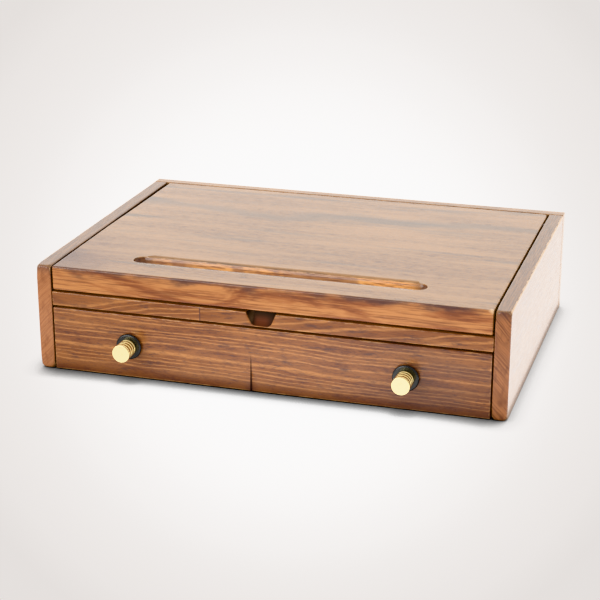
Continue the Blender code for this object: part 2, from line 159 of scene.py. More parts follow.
# In millimetres, for the materials: the greyish band along the lid, how wide the pen groove is at its top,
# how far its straight part goes past its opening's box, and half of the finger scoop's width with a margin
LID_BAND_Y = 66
PEN_RADIUS = 7.8
PEN_PAST_BOX = 0.94
SCOOP_HALF = 13

# Worn boards
LEAST_ROUND = 0.85 * MM
MOST_ROUND = 1.1 * MM
SKIN = 0.04 * MM
PLANE_WAVE = 0.05 * MM
PLANE_LENGTH = 45 * MM
WEAR_LENGTH = 22 * MM
CHIP_LENGTH = 5 * MM
CORNER_LENGTH = 5 * MM
CORNER_WEAR = 2.6 * MM
LID_SKEW = 1.6 * MM
SKEW_POWER = 0.7
BOARD_GRID = 6 * MM
SKEW_WIDTH = 25 * MM
EDGE_LINES = (0, 0.08, 0.2, 0.36, 0.56, 0.8, 1.0)
BOARD_ANGLE = 35

# Felt pads
FUZZ = 0.06 * MM
FUZZ_LENGTH = 1.2 * MM
PAD_STEPS = 72

# Turned pieces
TURN_STEPS = 96
SHARP_ANGLE = 30
SCREW_BORE = 2.3 * MM
KNOB_BORE_DEPTH = 10 * MM
KNOB_DISC = 1.3 * MM
KNOB_RIM = 0.45 * MM
KNOB_BACK_RIM = 0.2 * MM
KNOB_BEADS = 4
KNOB_GROOVE = 0.5 * MM
KNOB_GROOVE_DEPTH = 0.9 * MM
KNOB_GROOVE_TAPER = 0.12 * MM
BEAD_ROUND = 0.6 * MM
BEAD_SQUARE = 0.8
BEAD_STEPS = 12

OPENINGS = {row["name"]: row["box_m"] for row in frame["record"]["physics"]["openings"]}


class Nodes:
    """A material, with short calls that add nodes to it and link them."""

    def __init__(self, name):
        self.material = bpy.data.materials.new(name)
        self.material.use_nodes = True
        self.tree = self.material.node_tree
        self.shader = self.tree.nodes["Principled BSDF"]

    def add(self, kind, inputs=None, **settings):
        node = self.tree.nodes.new("ShaderNode" + kind)
        for key, value in settings.items():
            setattr(node, key, value)
        for key, value in (inputs or {}).items():
            self.set(node.inputs[key], value)
        return node

    def set(self, socket, value):
        if isinstance(value, bpy.types.NodeSocket):
            self.tree.links.new(value, socket)
        elif socket.type == "RGBA":
            socket.default_value = (*value, 1)
        else:
            socket.default_value = value

    def math(self, operation, *values, clamp=False):
        inputs = dict(enumerate(values))
        return self.add("Math", inputs, operation=operation, use_clamp=clamp).outputs[0]

    def vector(self, operation, *values):
        inputs = dict(enumerate(values))
        return self.add("VectorMath", inputs, operation=operation).outputs[0]

    def length(self, value):
        return self.add("VectorMath", {0: value}, operation="LENGTH").outputs["Value"]

    def split(self, value):
        return self.add("SeparateXYZ", {0: value}).outputs

    def join(self, *values):
        return self.add("CombineXYZ", dict(enumerate(values))).outputs[0]

    def mix(self, factor, low, high):
        inputs = {0: factor, 6: low, 7: high}
        return self.add("Mix", inputs, data_type="RGBA").outputs[2]

    def ease(self, value, start, end, low=0.0, high=1.0):
        """Goes smoothly from low to high as value goes from start to end."""
        inputs = {0: value, 1: start, 2: end, 3: low, 4: high}
        return self.add("MapRange", inputs, interpolation_type="SMOOTHSTEP").outputs[0]

    def noise(self, place, size, detail=2.0, roughness=0.55, shift=0.0):
        """Noise around 0.5, in blots of about the given size in each direction, in millimetres."""
        scale = tuple(1 / length for length in size)
        moved = self.vector("MULTIPLY_ADD", place, scale, (shift, shift * 1.7, shift * 0.6))
        inputs = {"Vector": moved, "Scale": 1.0, "Detail": detail, "Roughness": roughness}
        return self.add("TexNoise", inputs).outputs["Fac"]

    def ramp(self, value, *stops):
        """A piecewise line through (position, height) stops."""
        ramp = self.add("ValToRGB", {0: value})
        elements = ramp.color_ramp.elements
        while len(elements) < len(stops):
            elements.new(0.5)
        for element, (position, height) in zip(elements, stops):
            element.position = position
            element.color = (height, height, height, 1)
        return ramp.outputs["Color"]

    def bump(self, height, depth, strength=1.0):
        inputs = {"Height": height, "Distance": depth * MM, "Strength": strength}
        self.set(self.shader.inputs["Normal"], self.add("Bump", inputs).outputs[0])

    def finish(self, **values):
        for name, value in values.items():
            self.set(self.shader.inputs[name.replace("_", " ")], value)
        return self.material


def place_mm(n):
    """The point on the object at rest, in millimetres."""
    scaled = n.add("VectorMath", {0: n.add("TexCoord").outputs["Object"], "Scale": 1 / MM}, operation="SCALE")
    return scaled.outputs[0]


def edge_distance(n, place, node):
    """How far a point on a board's surface is from the board's nearest edge, in millimetres."""
    low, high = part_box(node)
    centre = tuple((low + high) / 2 / MM)
    half = tuple((high - low) / 2 / MM)
    off = n.vector("ABSOLUTE", n.vector("SUBTRACT", place, centre))
    a, b, c = n.split(n.vector("SUBTRACT", half, off))
    return n.math("MAXIMUM", n.math("MINIMUM", a, b), n.math("MINIMUM", n.math("MAXIMUM", a, b), c))


def face_distance(n, place, node, face):
    """How far a point lies inside one face, such as x-, of a board's box, in millimetres."""
    low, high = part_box(node)
    axis = "xyz".index(face[0])
    value = n.split(place)[axis]
    if face[1] == "-":
        return n.math("SUBTRACT", value, low[axis] / MM)
    return n.math("SUBTRACT", high[axis] / MM, value)


def late_wood(n, board, along, pith, ring, lean, wave, seed):
    """1 in the line that ends each ring, and 0 between the lines."""
    drift = n.math("MULTIPLY_ADD", n.noise(board, (110, 50, 50), 1, shift=seed), 4 * wave, -2 * wave)
    ripple = n.math("MULTIPLY_ADD", n.noise(board, (30, 8, 8), 2, shift=seed + 3), 2.4, -1.2)
    from_pith = n.vector("SUBTRACT", board, (0, *pith))
    radius = n.length(n.vector("MULTIPLY", from_pith, (0, 1, 1)))
    depth = n.math("ADD", n.math("MULTIPLY_ADD", along, lean, radius), n.math("ADD", drift, ripple))
    years = {"W": depth, "Scale": 0.09, "Detail": 1.0}
    yearly = n.add("TexNoise", years, noise_dimensions="1D").outputs["Fac"]
    depth = n.math("MULTIPLY_ADD", yearly, 2.2 * ring, depth)
    phase = n.math("FRACT", n.math("DIVIDE", depth, ring))
    return n.ramp(phase, (0.0, 0.1), (0.06, 0.0), (0.62, 0.0), (0.76, 1.0), (0.86, 1.0), (1.0, 0.1))


def wood(
    name,
    node,
    grain="X",
    pith=(0, -100),
    ring=5.0,
    lean=0.0,
    wave=3.0,
    seed=0.0,
    mid=PINE_MID,
    dark=PINE_DARK,
    light=PINE_LIGHT,
    stain=PINE_STAIN,
    worn=PINE_WORN,
    line=0.6,
    fibre=0.8,
    blotch=0.6,
    cloud=0.5,
    wear=0.7,
    shaded_faces=(),
    seam=None,
    fibre_size=(16, 0.55),
    pool_size=(22, 5),
    pool_detail=4,
    cloud_size=(55, 11),
    relief=0.05,
    details=None,
):
    """Stained wood: rings round a pith that runs along the grain, fibres, blotches of stain and worn edges.

    pith is its place across the grain: (y, z) for grain along X, and (x, z) for grain along Y. ring is how
    wide the rings are and wave is how far they wander, in millimetres, and lean is how much they slant. line,
    fibre, blotch, cloud and wear say how strong each effect is, and shaded_faces names the faces that lie in
    the gaps between the boards, which get painted shade.
    details adds what only this board has.
    """
    n = Nodes(name)
    place = place_mm(n)
    x, y, z = n.split(place)
    along, across = (x, y) if grain == "X" else (y, x)
    board = n.join(along, across, z)
    if seam is not None:
        # Two lengths of wood, glued end to end at the seam.
        step = n.math("GREATER_THAN", along, seam)
        board = n.vector("MULTIPLY_ADD", n.join(step, step, step), (437, 0, 6), board)
        along = n.split(board)[0]

    late = late_wood(n, board, along, pith, ring, lean, wave, seed)
    fibres = n.noise(board, (fibre_size[0], fibre_size[1], fibre_size[1]), 3, 0.65, seed + 7)
    flecks = n.noise(board, (4.5, 0.6, 0.6), 2, 0.6, seed + 11)
    clouds = n.noise(board, (cloud_size[0], cloud_size[1], cloud_size[1]), 3, 0.55, seed + 17)
    pools = n.noise(board, (pool_size[0], pool_size[1], pool_size[1]), pool_detail, 0.65, seed + 23)

    colour = n.mix(n.ease(fibres, 0.44, 0.66, 0.0, fibre), mid, dark)
    colour = n.mix(n.ease(clouds, 0.38, 0.66, 0.0, cloud), colour, n.mix(0.5, mid, light))
    broken = n.math("MULTIPLY", late, n.ease(fibres, 0.66, 0.44, 0.4 * line, line))
    colour = n.mix(broken, colour, light)
    colour = n.mix(n.ease(pools, 0.54, 0.72, 0.0, blotch), colour, stain)
    colour = n.mix(n.ease(flecks, 0.58, 0.70, 0.0, 0.6 * fibre), colour, stain)
    if seam is not None:
        off_seam = n.math("ABSOLUTE", n.math("SUBTRACT", x, seam))
        colour = n.mix(n.ease(off_seam, 0.7, 0.2, 0.0, 0.8), colour, stain)
    edge = edge_distance(n, place, node)
    chips = n.noise(board, (9, 2, 2), 3, 0.6, seed + 29)
    rubbed = n.math("ADD", edge, n.math("MULTIPLY_ADD", chips, 7.0, -3.2))
    colour = n.mix(n.ease(rubbed, 1.1, 0.1, 0.0, wear), colour, worn)
    # Painted shade on the faces that lie in the gaps between the boards, in front of the back panel.
    for face in shaded_faces:
        inside = n.math("LESS_THAN", y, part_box("back_panel")[0].y / MM - 0.5)
        near = n.ease(face_distance(n, place, node, face), 0.4, 0.1, 0.0, 0.9)
        colour = n.mix(n.math("MULTIPLY", near, inside), colour, PAINTED_SHADE)
    dull = 0.0
    if details:
        colour, dull = details(n, place, board, colour)

    grain_height = n.math("MULTIPLY_ADD", late, 0.5, n.math("ADD", fibres, n.math("MULTIPLY", flecks, 0.5)))
    if relief:
        n.bump(grain_height, relief, WOOD_BUMP)
    rough = n.math("ADD", n.ease(fibres, 0.3, 0.7, SMOOTHEST, ROUGHEST), dull)
    return n.finish(Base_Color=colour, Roughness=rough, IOR=VARNISH_IOR)


def lid_details(n, place, board, colour):
    """The lid's pen groove, grey band, dark corner, painted shade in the slit at its left end, front edge and
    rubbed corner.
    """
    x, y, z = n.split(place)
    below = n.math("SUBTRACT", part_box("lid")[1].z / MM, z)
    chips = n.noise(board, (7, 3, 3), 2, 0.6, 47)
    colour = pen_groove_colour(n, place, board, colour, below, chips)

    wobble = n.noise(board, (90, 60, 60), 2, 0.5, 59)
    row = n.math("ABSOLUTE", n.math("MULTIPLY_ADD", wobble, 60, n.math("SUBTRACT", y, LID_BAND_Y + 30)))
    colour = n.mix(n.ease(row, 13, 2, 0.0, 0.6), colour, LID_GREY)
    corner = n.math("MULTIPLY", n.ease(x, -105, -172), n.ease(y, -20, -85))
    colour = n.mix(n.math("MULTIPLY", corner, n.ease(wobble, 0.35, 0.6, 0.3, 0.8)), colour, PINE_DARK)

    # Painted shade in the slit at the lid's left end, in a band that widens towards the back.
    slit = n.math("DIVIDE", face_distance(n, place, "lid", "x-"), n.ease(y, -70, 70, 0.2, 2.2))
    slit_shade = n.math("MULTIPLY", n.ease(slit, 1.1, 0.7), n.ease(below, 2.0, 1.0))
    colour = n.mix(n.math("MULTIPLY", slit_shade, 0.95), colour, PAINTED_SHADE)

    front = n.ease(face_distance(n, place, "lid", "y-"), 1.6, 0.5)
    colour = n.mix(front, colour, lid_front_colour(n, place, below))
    beside, before = (face_distance(n, place, "lid", face) for face in ("x+", "y-"))
    tip = n.math("MULTIPLY_ADD", chips, 5.0, n.length(n.join(beside, before, below)))
    colour = n.mix(n.ease(tip, 7.0, 4.2, 0.0, 0.85), colour, SIDE_RUBBED)
    return colour, n.math("MULTIPLY", slit_shade, SHADED_ROUGHNESS)


def pen_groove_colour(n, place, board, colour, below, chips):
    """The pen groove's bands of end and long grain, painted shade at its ends, and a painted highlight along
    its rim.
    """
    low, high = (Vector(corner) / MM for corner in OPENINGS["pen_groove"])
    centre, half = (low + high) / 2, (high - low) / 2
    x, y, z = n.split(place)
    off = n.vector("ABSOLUTE", n.vector("SUBTRACT", place, tuple(centre)))
    past = n.vector("MAXIMUM", n.vector("SUBTRACT", off, (half.x + PEN_PAST_BOX, 0, 0)), (0, 0, 0))
    away = n.length(n.vector("MULTIPLY", past, (1, 1, 0)))
    inside = n.math("MULTIPLY", n.ease(away, PEN_RADIUS + 0.1, PEN_RADIUS - 0.3), n.ease(below, 0.25, 0.8))
    bands = n.noise(n.join(n.math("MULTIPLY_ADD", y, 0.8, x), y, z), (21, 900, 900), 2, 0.5, 42)
    streak = n.noise(board, (18, 1.6, 0.9), 3, 0.6, 43)
    glow = n.math("MULTIPLY", n.ease(bands, 0.40, 0.52, 0.25, 1.0), n.ease(x, -90, -10, 0.5, 1.0))
    wall = n.mix(glow, GROOVE_DARK, n.mix(n.ease(streak, 0.42, 0.6), GROOVE_GLOW, PINE_LIGHT))
    wall = n.mix(n.ease(streak, 0.5, 0.7, 0.0, 0.55), wall, PINE_DARK)
    # Painted shade at the groove's ends.
    ends = n.ease(n.math("ABSOLUTE", x), half.x - 9.0, half.x + 3.0, 0.0, 0.8)
    colour = n.mix(inside, colour, n.mix(ends, wall, PINE_DARK))
    # A painted highlight along the groove's top rim, broken up by the chips noise.
    rim = n.math("ABSOLUTE", n.math("SUBTRACT", away, PEN_RADIUS))
    rubbed = n.math("MULTIPLY", n.ease(rim, 0.55, 0.15), n.ease(below, 1.2, 0.6))
    return n.mix(n.math("MULTIPLY", rubbed, n.ease(chips, 0.45, 0.65, 0.0, 0.6)), colour, PINE_WORN)


def lid_front_colour(n, place, below):
    """The lid's front edge: orange wood with slanting figure, and dark stain that has run down it."""
    x, _, z = n.split(place)
    slant = n.join(n.math("MULTIPLY_ADD", z, n.ease(x, -60, 20, 3.0, 0.8), x), z, n.math("MULTIPLY", x, 0.02))
    figure = n.noise(slant, (38, 7, 11), 3, 0.55, 61)
    streaks = n.noise(place, (32, 4, 0.8), 3, 0.6, 67)
    patches = n.noise(place, (24, 5, 9), 4, 0.55, 53)
    colour = n.mix(n.ease(figure, 0.40, 0.60), LID_FRONT_LIGHT, LID_FRONT)
    colour = n.mix(n.ease(streaks, 0.44, 0.66, 0.0, 0.7), colour, LID_FRONT_DARK)
    colour = n.mix(n.ease(figure, 0.54, 0.70, 0.0, 0.8), colour, LID_FRONT_DARK)
    runs = n.ease(n.math("MULTIPLY_ADD", patches, -22.0, below), -5.0, -12.5, 0.0, 0.85)
    return n.mix(runs, colour, PINE_STAIN)


def rail_details(n, place, board, colour):
    """The finger scoop in painted near-black shade, easing to red-brown at its foot where light falls, with a
    greyer stripe of painted light on its left wall.
    """
    low, high = (Vector(corner) / MM for corner in OPENINGS["finger_scoop"])
    x, y, z = n.split(place)
    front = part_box("front_rail")[0].y / MM
    beside = n.math("ABSOLUTE", n.math("SUBTRACT", x, (low.x + high.x) / 2))
    near = n.ease(beside, SCOOP_HALF, SCOOP_HALF - 1)
    under = n.math("MULTIPLY", near, n.ease(face_distance(n, place, "front_rail", "z+"), 0.1, 0.6))
    inside = n.math("MULTIPLY", n.ease(n.math("SUBTRACT", y, front), 0.3, 1.6), under)
    # Painted shade fills the scoop. It eases to red-brown at the lit foot, and a greyer stripe of painted
    # light lies on the left wall.
    foot = n.math("MULTIPLY", n.ease(z, low.z + 5.5, low.z - 1.0), n.ease(x, low.x - 2, low.x + 3))
    foot = n.math("MULTIPLY", foot, n.ease(x, high.x + 1, high.x - 5, 0.2, 0.8))
    scoop_shading = n.mix(foot, SCOOP_SHADE, PINE_RED)
    stripe = n.ease(n.math("ABSOLUTE", n.math("SUBTRACT", x, low.x - 2.5)), 2.2, 0.4, 0.0, 0.7)
    colour = n.mix(n.math("MULTIPLY", inside, 0.95), colour, n.mix(stripe, scoop_shading, LID_GREY))
    return colour, n.math("MULTIPLY", inside, SHADED_ROUGHNESS)


def side_details(side):
    """A side panel's browner top, its end grain, and its outer top edge rubbed down to light wood."""
    node = f"side_panel_{side}"
    outer = "x+" if SIDES[side] > 0 else "x-"

    def details(n, place, board, colour):
        under = face_distance(n, place, node, "z+")
        streaks = n.noise(place, (0.9, 30, 0.9), 3, 0.6, 71)
        patches = n.noise(place, (5, 26, 5), 3, 0.6, 73)
        top = n.mix(n.ease(streaks, 0.42, 0.64), SIDE_TOP, SIDE_TOP_DARK)
        top = n.mix(n.ease(patches, 0.52, 0.68, 0.0, 0.7), top, SIDE_TOP_DARK)
        colour = n.mix(n.ease(under, 1.2, 0.3), colour, top)
        end = side_end_colour(n, place, side, under)
        colour = n.mix(n.ease(face_distance(n, place, node, "y-"), 1.2, 0.4), colour, end)
        chips = n.math("MULTIPLY", n.noise(place, (3, 9, 3), 3, 0.6, 89), 3.6)
        out = n.math("SUBTRACT", face_distance(n, place, node, outer), n.math("SUBTRACT", chips, 1.1))
        lit = n.math("MULTIPLY", n.ease(out, 0.5, -0.3), n.ease(under, 2.5, 1.0))
        return n.mix(n.math("MULTIPLY", lit, 0.9), colour, SIDE_RUBBED), 0.0

    return details


def side_end_colour(n, place, side, under):
    """A side panel's end grain, darker towards its top.

    Its rings fall to the right on the right panel, and rise to the right, fainter, on the left one.
    """
    x, _, z = n.split(place)
    light, dark = SIDE_END[side], SIDE_END_DARK[side]
    slant = n.math("MULTIPLY_ADD", x, SIDES[side] * 1.1, z)
    bend = n.math("MULTIPLY_ADD", n.noise(place, (9, 9, 24), 2, 0.5, 77), 3.5, slant)
    rings = n.noise(n.join(bend, x, z), (0.9, 40, 40), 2, 0.6, 79)
    blots = n.noise(place, (5, 5, 11), 3, 0.6, 83)
    end = n.mix(n.ease(rings, 0.46, 0.62, 0.0, RING_STRENGTH[side]), light, dark)
    end = n.mix(n.ease(blots, 0.5, 0.68, 0.0, 0.6), end, dark)
    return n.mix(n.ease(under, 9.0, 0.5, 0.0, 0.6), end, PINE_STAIN)


def drawer_details(n, place, board, colour):
    """The drawer front's darker right end, rubbed lower edge, painted shade towards its foot and inside its
    crack, and a dark halo round the crack's lower part.
    """
    x, _, z = n.split(place)
    top = CRACK_TOP / MM
    width = n.ease(z, top, 0.0, 0.25, CRACK_WIDTH / MM)
    away = n.math("DIVIDE", n.math("ABSOLUTE", n.math("SUBTRACT", x, CRACK_X / MM)), width)
    # Painted shade inside the crack, which is also cut into the board.
    crack = n.math("MULTIPLY", n.ease(away, 1.2, 0.3), n.ease(z, top + 2, top - 4))
    halo = n.math("MULTIPLY", n.ease(away, 6.0, 1.0, 0.0, 0.45), n.ease(z, 12.0, 2.0))
    # Painted shade towards the foot, which the floor's glow lights the most.
    foot = n.ease(z, 13.0, 1.0, 0.0, 0.45)
    chips = n.noise(board, (9, 2, 2), 3, 0.6, 91)
    edge = n.math("MULTIPLY", n.ease(z, 1.6, 1.0), n.ease(chips, 0.42, 0.6, 0.2, 0.8))
    colour = n.mix(edge, n.mix(foot, colour, PINE_DARK), PINE_WORN)
    shade = n.noise(board, (60, 30, 18), 2, 0.5, 97)
    right = n.math("MULTIPLY", n.ease(x, 20, 120), n.ease(shade, 0.4, 0.6, 0.1, 0.45))
    colour = n.mix(right, colour, PINE_STAIN)
    return n.mix(crack, n.mix(halo, colour, PINE_STAIN), PAINTED_SHADE), 0.0


def set_material(node, material):
    obj = frame["nodes"][node]
    obj.data.materials.clear()
    obj.data.materials.append(material)


def stand_in(obj, node, material):
    """Puts a finer piece in the place of a CAD node: same body, same material slot."""
    obj.data.materials.clear()
    obj.data.materials.append(material)
    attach(obj, frame["nodes"][node]["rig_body"])
    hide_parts(node)
    return obj


def grid_lines(half, worn):
    """Places across one side of a board, from -half to half: close together in its worn edges."""
    edge = [half - worn * share for share in EDGE_LINES]
    count = max(1, math.ceil(2 * edge[-1] / BOARD_GRID))
    middle = [edge[-1] * (2 * i / count - 1) for i in range(1, count)]
    return [-place for place in edge] + middle + edge[::-1]


def board_shell(half, worn):
    """The six faces of a box as one closed grid, with its middle at the origin."""
    bm = bmesh.new()
    lines = [grid_lines(size, worn) for size in half]
    corners = {}

    def corner(place):
        key = tuple(round(value / MM, 5) for value in place)
        if key not in corners:
            corners[key] = bm.verts.new(place)
        return corners[key]

    for axis in range(3):
        first, second = (axis + 1) % 3, (axis + 2) % 3
        for sign in (-1, 1):
            for a, b in zip(lines[first], lines[first][1:]):
                for c, d in zip(lines[second], lines[second][1:]):
                    loop = []
                    for one, two in ((a, c), (b, c), (b, d), (a, d))[::sign]:
                        place = [0, 0, 0]
                        place[axis], place[first], place[second] = sign * half[axis], one, two
                        loop.append(corner(place))
                    bm.faces.new(loop)
    return bm


def worn_board(node, material, edge=LEAST_ROUND, worn=MOST_ROUND, corner=0.0, skew=0.0, seed=0.0):
    """A board with irregular, rubbed edges in the place of a CAD board, with that board's grooves and holes.

    edge and worn are the least and the greatest rounding, and corner is what a front corner has on top of
    that. skew is how far the left edge is out of square.
    """
    low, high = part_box(node)
    centre, half = (low + high) / 2, (high - low) / 2
    reach = worn + corner
    bm = board_shell(half, reach)
    for vertex in bm.verts:
        place = vertex.co.copy()
        near = sorted(half[i] - abs(place[i]) for i in range(3))
        rubbed = 0.5 + 0.5 * noise.noise((place + centre) / WEAR_LENGTH + Vector((seed, 0, 0)))
        chips = 0.5 + 0.5 * noise.noise((place + centre) / CHIP_LENGTH + Vector((0, seed, 0)))
        radius = edge + (worn - edge) * (0.6 * rubbed + 0.4 * chips) ** 2
        if place.y < 0:
            radius += corner * math.exp(-((near[1] + near[2]) / CORNER_LENGTH) ** 2)
        radius = min(radius, *half)
        core = Vector(max(-(h - radius), min(h - radius, value)) for value, h in zip(place, half))
        out = place - core
        if out.length > 0:
            out.normalize()
        plane = noise.noise((place + centre) / PLANE_LENGTH + Vector((0, 0, seed)))
        vertex.co = core + out * (radius - SKIN - PLANE_WAVE * (0.5 + 0.5 * plane))
        # The left edge runs in a little towards the back, out of square.
        beside = max(0, 1 - (half.x + place.x) / SKEW_WIDTH)
        vertex.co.x += skew * beside * max(0, place.y / half.y) ** SKEW_POWER
    bmesh.ops.translate(bm, vec=centre, verts=bm.verts)
    obj = link_mesh(f"worn_{node}", bm)
    carve(obj, [frame["nodes"][node]], "INTERSECT")
    return stand_in(obj, node, material)


def carve(obj, cutters, operation="DIFFERENCE"):
    """Cuts a piece and keeps the result as its mesh."""
    for cutter in cutters:
        boolean = obj.modifiers.new("cut", "BOOLEAN")
        boolean.operation = operation
        boolean.solver = "EXACT"
        boolean.object = cutter
    bpy.context.view_layer.update()
    shaped = bpy.data.meshes.new_from_object(obj.evaluated_get(bpy.context.evaluated_depsgraph_get()))
    obj.modifiers.clear()
    shaped.name = obj.name
    obj.data = shaped
    smooth(obj)


def smooth(obj, angle=BOARD_ANGLE):
    obj.data.shade_smooth()
    obj.data.set_sharp_from_angle(angle=math.radians(angle))
    normals = obj.modifiers.new("even_normals", "WEIGHTED_NORMAL")
    normals.keep_sharp = True


def crack_cutter():
    """The crack in the drawer's front: a sharp wedge that is wider at its lower end."""
    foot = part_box("drawer_front")[0]
    before, behind = foot.y - CRACK_DEPTH, foot.y + CRACK_DEPTH
    bm = bmesh.new()
    rows = []
    for z, width in ((foot.z - 1 * MM, CRACK_WIDTH), (CRACK_TOP, CRACK_TIP)):
        left, right = CRACK_X - width / 2, CRACK_X + width / 2
        ring = [(left, before, z), (right, before, z), (CRACK_X, behind, z)]
        rows.append([bm.verts.new(point) for point in ring])
    bm.faces.new(rows[0])
    bm.faces.new(rows[1][::-1])
    for i in range(3):
        j = (i + 1) % 3
        bm.faces.new((rows[0][j], rows[0][i], rows[1][i], rows[1][j]))
    bmesh.ops.recalc_face_normals(bm, faces=bm.faces)
    return link_mesh("crack", bm)


def lathe(name, profile, steps):
    """A closed turned mesh about Z from (radius, height) points, from axis to axis or right round a ring."""
    bm = bmesh.new()
    rings = []
    for radius, height in profile:
        if radius == 0:
            rings.append([bm.verts.new((0, 0, height))])
            continue
        turns = [2 * math.pi * i / steps for i in range(steps)]
        rings.append([bm.verts.new((radius * math.cos(t), radius * math.sin(t), height)) for t in turns])
    if len(rings[0]) > 1:
        rings.append(rings[0])
    for above, below in zip(rings, rings[1:]):
        for i in range(steps):
            j = (i + 1) % steps
            corners = [above[i % len(above)], above[j % len(above)]]
            corners += [below[j % len(below)], below[i % len(below)]]
            bm.faces.new(list(dict.fromkeys(corners)))
    bmesh.ops.recalc_face_normals(bm, faces=bm.faces)
    return link_mesh(name, bm)


def arc(centre, radius, start, end, steps):
    """Points of an arc, angles in degrees, as (radius, height) pairs."""
    turns = [math.radians(start + (end - start) * i / steps) for i in range(steps + 1)]
    return [(centre[0] + radius * math.cos(t), centre[1] + radius * math.sin(t)) for t in turns]


def turned_piece(node, profile, material):
    """A finer turned piece in the place of a CAD one. Its axis points to -Y, from the CAD piece's back."""
    low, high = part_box(node)
    obj = lathe(f"turned_{node}", profile, TURN_STEPS)
    obj.data.transform(Matrix.Rotation(math.pi / 2, 4, "X"))
    obj.data.transform(Matrix.Translation(((low.x + high.x) / 2, high.y, (low.z + high.z) / 2)))
    stand_in(obj, node, material)
    smooth(obj, SHARP_ANGLE)


def knob_profile(radius, length):
    """A front disc with a soft edge, then rounded beads with grooves between them, then the threaded bore."""
    bead = (length - KNOB_DISC) / KNOB_BEADS - KNOB_GROOVE
    # The face is very slightly domed.
    points = [(0, length), (radius * 0.5, length - 0.01 * MM), (radius - KNOB_RIM, length - 0.03 * MM)]
    points += arc((radius - KNOB_RIM, length - KNOB_RIM), KNOB_RIM, 80, 0, 6)
    height = length - KNOB_DISC
    points += arc((radius - KNOB_BACK_RIM, height + KNOB_BACK_RIM), KNOB_BACK_RIM, 0, -90, 3)
    for _ in range(KNOB_BEADS):
        floor = radius - KNOB_GROOVE_DEPTH
        points += [(floor, height - KNOB_GROOVE_TAPER), (floor, height - KNOB_GROOVE + KNOB_GROOVE_TAPER)]
        height -= KNOB_GROOVE
        points += bead_points(radius, height - bead / 2, bead / 2)
        height -= bead
    back = [(SCREW_BORE + 0.3 * MM, 0), (SCREW_BORE, 0.3 * MM)]
    return points + back + [(SCREW_BORE, KNOB_BORE_DEPTH), (0, KNOB_BORE_DEPTH + 1 * MM)]


def bead_points(radius, middle, half):
    """A flat arc across the length of a bead, from its front to its back."""
    points = []
    for i in range(BEAD_STEPS + 1):
        turn = math.pi * (i / BEAD_STEPS - 0.5)
        sunk = BEAD_ROUND * (1 - math.cos(turn) ** BEAD_SQUARE)
        points.append((radius - sunk, middle - half * math.sin(turn)))
    return points


def washer_profile(radius, thickness):
    """A ring with a full round rim, and a little chamfer at its bore."""
    rim = thickness / 2
    chamfer = 0.2 * MM
    face = [(SCREW_BORE, thickness - chamfer), (SCREW_BORE + chamfer, thickness)]
    back = [(SCREW_BORE + chamfer, 0), (SCREW_BORE, chamfer)]
    return face + arc((radius - rim, rim), rim, 90, -90, 16) + back


def brass():
    n = Nodes("polished_brass")
    place = place_mm(n)
    tarnish = n.noise(place, (5, 5, 5), 3, 0.6)
    fine = n.noise(place, (1.2, 1.2, 1.2), 2)
    colour = n.mix(n.ease(tarnish, 0.5, 0.8, 0.0, 0.35), BRASS, BRASS_DULL)
    n.bump(fine, 0.02, 0.3)
    return n.finish(Base_Color=colour, Metallic=1.0, Roughness=n.ease(fine, 0.3, 0.7, 0.08, 0.16))


def rubber():
    n = Nodes("black_rubber")
    place = place_mm(n)
    dust = n.noise(place, (3, 3, 3), 4, 0.65)
    pits = n.noise(place, (0.5, 0.5, 0.5), 2)
    colour = n.mix(n.ease(dust, 0.5, 0.8, 0.0, 0.4), RUBBER, RUBBER_DUST)
    n.bump(pits, 0.03, 0.3)
    return n.finish(Base_Color=colour, Roughness=n.ease(dust, 0.3, 0.7, 0.16, 0.3))


def steel():
    n = Nodes("bright_steel")
    place = place_mm(n)
    marks = n.noise(place, (4, 0.6, 4), 3, 0.6)
    colour = n.mix(n.ease(marks, 0.4, 0.75, 0.0, 0.7), STEEL, STEEL_DULL)
    n.bump(marks, 0.02, 0.3)
    return n.finish(Base_Color=colour, Metallic=1.0, Roughness=n.ease(marks, 0.3, 0.7, 0.25, 0.45))


def felt():
    n = Nodes("brown_felt")
    place = place_mm(n)
    lint = n.noise(place, (0.5, 0.5, 0.5), 4, 0.7)
    colour = n.mix(n.ease(lint, 0.4, 0.7), FELT, FELT_LINT)
    n.bump(lint, 0.2, 0.8)
    return n.finish(Base_Color=colour, Roughness=0.95, Sheen_Weight=0.5)


def felt_pad(node, material):
    """A soft disc with a rounded, fuzzy top in the place of a CAD pad."""
    low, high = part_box(node)
    radius, height = (high.x - low.x) / 2, high.z - low.z
    rim = 0.4 * height
    flat = [(radius * share, height) for share in (0.0, 0.2, 0.4, 0.6, 0.75)]
    profile = flat + arc((radius - rim, height - rim), rim, 90, 0, 8)
    profile += [(radius, 0.1 * height), (radius, 0), (0, 0)]
    pad = lathe(f"soft_{node}", profile, PAD_STEPS)
    pad.data.transform(Matrix.Translation(((low.x + high.x) / 2, (low.y + high.y) / 2, low.z)))
    for vertex in pad.data.vertices:
        raised = (vertex.co.z - low.z) / height
        fuzz = 0.5 + 0.5 * noise.noise(vertex.co / FUZZ_LENGTH)
        vertex.co.z -= raised * FUZZ * fuzz
    stand_in(pad, node, material)
    smooth(pad, 60)


def make_lid():
    pine = wood(
        "stained_pine_lid",
        "lid",
        pith=(-190, -30),
        ring=6,
        lean=0.02,
        wave=3,
        seed=1,
        mid=LID_MID,
        dark=LID_DARK,
        light=LID_LIGHT,
        stain=LID_GREY,
        line=0.35,
        fibre=0.85,
        blotch=0.75,
        cloud=0.8,
        fibre_size=(9, 1.1),
        pool_size=(130, 15),
        pool_detail=1.5,
        cloud_size=(150, 17),
        details=lid_details,
    )
    worn_board("lid", pine, edge=1.3 * MM, worn=1.9 * MM, skew=LID_SKEW, seed=1)


